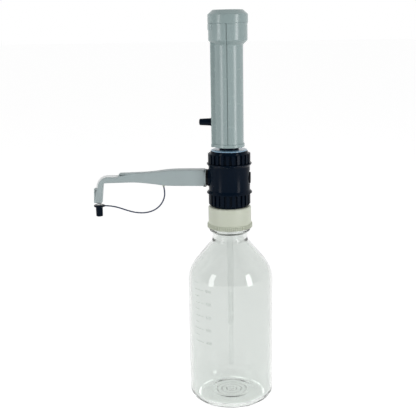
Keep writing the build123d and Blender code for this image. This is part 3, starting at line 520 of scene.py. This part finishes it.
SMOOTHED = [
    ("Bottle", "reagent_bottle", "bottle", "glass", "bottle_glass"),
    ("Adapter", "thread_adapter", "adapter", "cream", "cream_plastic"),
    ("Union_Nut", "union_nut", "union_nut", "navy", "dark_plastic"),
    ("Barrel_Nut", "barrel_nut", "barrel_nut", "navy", "dark_plastic"),
    # The barrel nut ring's pale tone is partly a painted reflection
    ("Barrel_Nut_Ring", "barrel_nut_ring", "barrel_nut", "steel_blue", "collar_blue"),
    ("Block", "block_housing", "block", "navy", "dark_plastic"),
    ("Side_Plug", "side_plug", "block", "black", "dark_plastic"),
    ("Socket_Ring", "arm_socket_ring", "block", "black", "black_plastic"),
    ("Arm_Collar", "arm_collar", "block", "arm", "arm_grey"),
    ("Arm", "arm_cover", "block", "arm", "arm_grey"),
    ("Latch", "arm_latch", "block", "black", "black_plastic"),
    ("Discharge_Tube", "discharge_tube", "block", "tube", "white_tube"),
    ("Nozzle", "discharge_nozzle", "block", "tip", "clear_tip"),
    ("Peg", "tether_peg", "block", "cream", "cap_white"),
    ("Nozzle_Cap", "nozzle_cap", "nozzle_cap", "navy", "black_plastic"),
    ("Suction_Tube", "suction_tube_outer", "block", "straw", "clear_tip"),
    ("Suction_Tube_Tip", "suction_tube_inner", "suction_tube_inner", "straw", "clear_tip"),
    ("Barrel", "glass_barrel", "block", "barrel", "barrel_glass"),
    ("Barrel_Collar", "barrel_collar", "block", "navy", "collar_blue"),
    ("Guide_Collar", "guide_collar", "block", "steel_blue", "collar_blue"),
    ("Sleeve_Foot", "sleeve_foot_ring", "sleeve", "sleeve", "grey_sleeve"),
    ("Sleeve_Left", "sleeve_left_shell", "sleeve", "sleeve", "grey_sleeve"),
    ("Sleeve_Right", "sleeve_right_shell", "sleeve", "sleeve", "grey_sleeve"),
    ("Top_Cap", "top_cap", "sleeve", "sleeve", "grey_sleeve"),
    ("Stop_Washer", "stop_washer", "stop_slider", "navy", "black_plastic"),
    ("Knob", "clamp_knob", "clamp_knob", "navy", "black_plastic"),
]


class DISPENSER_OT_smoothed(bpy.types.Operator):
    """Moulded parts with their round faces smooth"""

    bl_idname = "dispenser.smoothed"
    bl_label = "Moulded parts"

    def execute(self, context):
        for name, node, body, finish, slot in SMOOTHED:
            piece = dress(smooth_copy(name, node), body, finishes[finish], slot, node)
            if node in EDGE_SOFTNESS:
                soften(piece, EDGE_SOFTNESS[node])
        return {"FINISHED"}


# Printed scales: measuring marks on the bottle's glass and on the sleeve's rail

PRINT_LIFT = 0.04 * MM
PRINT_THICKNESS = 0.04 * MM
TICK_HEIGHT = 0.5 * MM
BOTTLE_SCALE_ANGLE = math.radians(-37)
BOTTLE_SCALE_LOW = 82 * MM
BOTTLE_SCALE_PITCH = 16 * MM
BOTTLE_SCALE_ROWS = 5
RAIL_REACH = 19.8 * MM
RAIL_SCALE_PITCH = 7.84 * MM
RAIL_SCALE_ROWS = 10
RAIL_SCALE_STEP = 2
BOTTLE_SCALE_START = 400
BOTTLE_SCALE_STEP = 100


def add_tick(shape, start, end, height):
    """Adds one flat mark between two places along the scale, at that height."""
    grid = bmesh.ops.create_grid(shape, x_segments=8, y_segments=1, size=0.5)
    middle = (start + end) / 2
    for vert in grid["verts"]:
        across = middle + vert.co.x * (end - start)
        vert.co = Vector((across, height + vert.co.y * TICK_HEIGHT, 0))
    faces = list({face for vert in grid["verts"] for face in vert.link_faces})
    grown = bmesh.ops.extrude_face_region(shape, geom=faces)
    lifted = [item for item in grown["geom"] if isinstance(item, bmesh.types.BMVert)]
    bmesh.ops.translate(shape, verts=lifted, vec=(0, 0, PRINT_THICKNESS))


def add_number(shape, number, size, across, height):
    """Adds a plain number, centred at that place of the scale."""
    digits = bpy.data.curves.new("digits", "FONT")
    digits.body = str(number)
    digits.size = size
    digits.align_x = "CENTER"
    digits.align_y = "CENTER"
    digits.extrude = PRINT_THICKNESS / 2
    holder = bpy.data.objects.new("digits", digits)
    bpy.context.scene.collection.objects.link(holder)
    mesh = bpy.data.meshes.new_from_object(holder)
    mesh.transform(Matrix.Translation((across, height, PRINT_THICKNESS / 2)))
    shape.from_mesh(mesh)
    bpy.data.objects.remove(holder)
    bpy.data.meshes.remove(mesh)


def lay_on(shape, place):
    """Moves a flat print onto its surface."""
    bmesh.ops.remove_doubles(shape, verts=shape.verts[:], dist=1e-7)
    for vert in shape.verts:
        vert.co = place(vert.co.x, vert.co.y, vert.co.z + PRINT_LIFT)


def on_bottle(across, height, lift):
    """Place on the bottle's round wall."""
    radius = bottle_high.x + lift
    angle = BOTTLE_SCALE_ANGLE + across / radius
    return Vector((radius * math.sin(angle), -radius * math.cos(angle), height))


def on_rail(across, height, lift):
    """Place on the flat face of the sleeve's rail."""
    return Vector((-RAIL_REACH - lift, -across, height))


class DISPENSER_OT_scales(bpy.types.Operator):
    """Measuring marks on the bottle and on the rail"""

    bl_idname = "dispenser.scales"
    bl_label = "Scales"

    def execute(self, context):
        shape = bmesh.new()
        for row in range(BOTTLE_SCALE_ROWS):
            height = BOTTLE_SCALE_LOW + row * BOTTLE_SCALE_PITCH
            add_tick(shape, -12 * MM, 2 * MM, height)
            add_tick(shape, -12 * MM, -5 * MM, height + BOTTLE_SCALE_PITCH / 2)
            number = BOTTLE_SCALE_START + BOTTLE_SCALE_STEP * row
            add_number(shape, number, 5 * MM, 9 * MM, height)
        lay_on(shape, on_bottle)
        dress(new_mesh("Bottle_Scale", shape), "bottle", finishes["print_white"], "cap_white")
        shape = bmesh.new()
        for row in range(RAIL_SCALE_ROWS):
            height = KNOB_Z + (row + 1) * RAIL_SCALE_PITCH
            add_tick(shape, 4.2 * MM, 5.4 * MM, height)
            add_number(shape, RAIL_SCALE_STEP * (row + 1), 2.6 * MM, -4.9 * MM, height)
        lay_on(shape, on_rail)
        dress(new_mesh("Rail_Scale", shape), "sleeve", finishes["print_dark"], "black_plastic")
        return {"FINISHED"}


# Tether between the nozzle cap and the peg under the arm

TETHER_DIAMETER = 1.7 * MM
# Distance out along the arm and drop below the tube, in millimetres
TETHER_ROUTE = [
    (150.2, 35.0), (143.8, 35.0), (133.9, 36.9), (124.0, 40.3), (113.1, 43.2), (101.2, 43.6),
    (90.3, 40.4), (81.9, 33.6), (77.4, 24.4), (77.0, 17.2), (78.1, 10.95),
]


def tether_curve():
    """Smooth line of the tether through its given route."""
    curve = bpy.data.curves.new("tether_line", "CURVE")
    curve.dimensions = "3D"
    curve.resolution_u = 12
    spline = curve.splines.new("NURBS")
    spline.points.add(len(TETHER_ROUTE) - 1)
    for point, (reach, drop) in zip(spline.points, TETHER_ROUTE):
        point.co = (-reach * MM, 0, ARM_Z - drop * MM, 1)
    spline.order_u = 3
    spline.use_endpoint_u = True
    return curve


class DISPENSER_OT_tether(bpy.types.Operator):
    """Thin cord from the nozzle cap to the arm"""

    bl_idname = "dispenser.tether"
    bl_label = "Tether"

    def execute(self, context):
        holder = bpy.data.objects.new("tether_line", tether_curve())
        context.scene.collection.objects.link(holder)
        line = bpy.data.meshes.new_from_object(holder)
        holder.data.bevel_depth = TETHER_DIAMETER / 2
        holder.data.bevel_resolution = 4
        holder.data.use_fill_caps = True
        context.view_layer.update()
        shape = bmesh.new()
        shape.from_mesh(bpy.data.meshes.new_from_object(holder))
        bpy.data.objects.remove(holder)
        tether = new_mesh("Tether", shape)
        tether.data.materials.clear()
        tether.data.materials.append(finishes["cord"])
        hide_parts("cap_tether")
        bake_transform(tether)
        return {"FINISHED"}


class DISPENSER_PT_panel(bpy.types.Panel):
    """Sizes, colours and operators of the dispenser"""

    bl_idname = "DISPENSER_PT_panel"
    bl_label = "Bottle-Top Dispenser"
    bl_space_type = "VIEW_3D"
    bl_region_type = "UI"
    bl_category = "Dispenser"

    def draw(self, context):
        layout = self.layout
        for operator in OPERATORS:
            layout.operator(operator.bl_idname)
        for group in (context.scene.dispenser_colours, context.scene.dispenser_studio):
            box = layout.box()
            for name in group.__annotations__:
                box.prop(group, name)


OPERATORS = [
    DISPENSER_OT_stage,
    DISPENSER_OT_finishes,
    DISPENSER_OT_tether,
    DISPENSER_OT_smoothed,
    DISPENSER_OT_scales,
]
GROUPS = [DispenserColours, DispenserStudio]
CLASSES = GROUPS + OPERATORS + [DISPENSER_PT_panel]


def register():
    for item in CLASSES:
        bpy.utils.register_class(item)
    bpy.types.Scene.dispenser_colours = PointerProperty(type=DispenserColours)
    bpy.types.Scene.dispenser_studio = PointerProperty(type=DispenserStudio)


def unregister():
    del bpy.types.Scene.dispenser_studio
    del bpy.types.Scene.dispenser_colours
    for item in reversed(CLASSES):
        bpy.utils.unregister_class(item)


def main():
    register()
    bpy.ops.dispenser.stage()
    bpy.ops.dispenser.finishes()
    bpy.ops.dispenser.tether()
    bpy.ops.dispenser.smoothed()
    bpy.ops.dispenser.scales()


if __name__ == "__main__":
    main()
